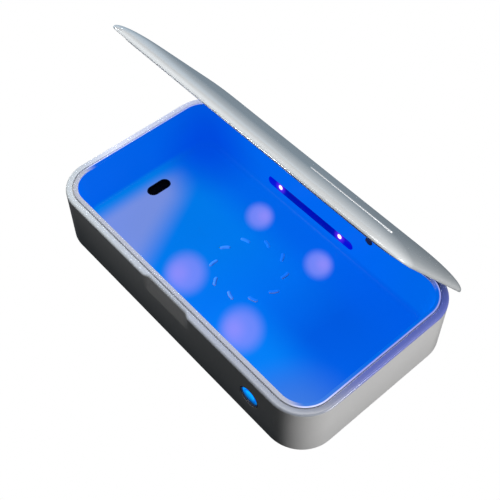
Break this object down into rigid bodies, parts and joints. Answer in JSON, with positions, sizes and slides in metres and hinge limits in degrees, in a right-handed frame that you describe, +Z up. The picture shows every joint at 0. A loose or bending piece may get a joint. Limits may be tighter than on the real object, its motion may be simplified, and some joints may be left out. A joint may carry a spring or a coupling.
{
  "type": "uv sanitizer box",
  "caption": "Hinged UV light steriliser box: a rounded base with a lit tray, a front push button and a crowned lid that lifts to stay where it is put.",
  "frame": {"origin": "on the resting surface, below the centre of the base's outline", "axes": "+Z up, +X along the base's length with the push button at positive X, -Y towards the front with the finger notch and +Y towards the hinge"},
  "size_m": [0.228, 0.1311, 0.142],
  "materials": {
    "white_casing": "satin gloss",
    "white_tray": "satin gloss, lit blue from the side windows",
    "cover_plastic": "fine texture",
    "window_blue": "polished",
    "circuit_board": "solder mask",
    "light_diode": "clear, glowing violet",
    "black_plastic": "matt",
    "dark_lens": "polished",
    "black_foam": "open foam",
    "chip": "matt",
    "steel": "satin",
    "bezel": "gloss",
    "lit_ring": "glowing blue",
    "lit_cap": "glowing blue",
    "rubber_grey": "matt",
    "wire_jacket": "soft",
    "seal_silicone": "translucent white",
    "inlay_metal": "polished"
  },
  "bodies": {
    "base": {"base_shell": "white_casing", "bottom_cover": "cover_plastic", "inner_tray": "white_tray", "rear_light_window": "window_blue", "front_light_window": "window_blue", "rear_light_board": "circuit_board", "front_light_board": "circuit_board", "rear_light_diodes": "light_diode", "front_light_diodes": "light_diode", "aroma_cup": "black_plastic", "aroma_pad": "black_foam", "lid_sensor_lens": "dark_lens", "lid_sensor_board": "circuit_board", "main_board": "circuit_board", "board_components": "chip", "charge_board": "circuit_board", "charge_socket": "steel", "button_bezel": "bezel", "button_light_ring": "lit_ring", "button_switch": "chip", "button_board": "circuit_board", "cover_screws": "steel", "rubber_feet": "rubber_grey", "base_magnets": "steel", "hinge_pins": "steel", "wiring": "wire_jacket"},
    "lid": {"lid_shell": "white_casing", "lid_plate": "white_casing", "lid_seal": "seal_silicone", "lid_magnets": "steel", "lid_inlay": "inlay_metal"},
    "button": {"power_button": "lit_cap"}
  },
  "joints": [
    {"name": "lid_hinge", "type": "hinge", "parent": "base", "child": "lid", "pos_m": [0, 0.0621, 0.0393], "axis": [-1, 0, 0], "range_deg": [-53, 37]},
    {"name": "button_press", "type": "slide", "parent": "base", "child": "button", "axis": [0, 1, 0], "range_m": [0, 0.0006], "stiffness_N_per_m": 2500, "springref_m": -0.0002}
  ]
}
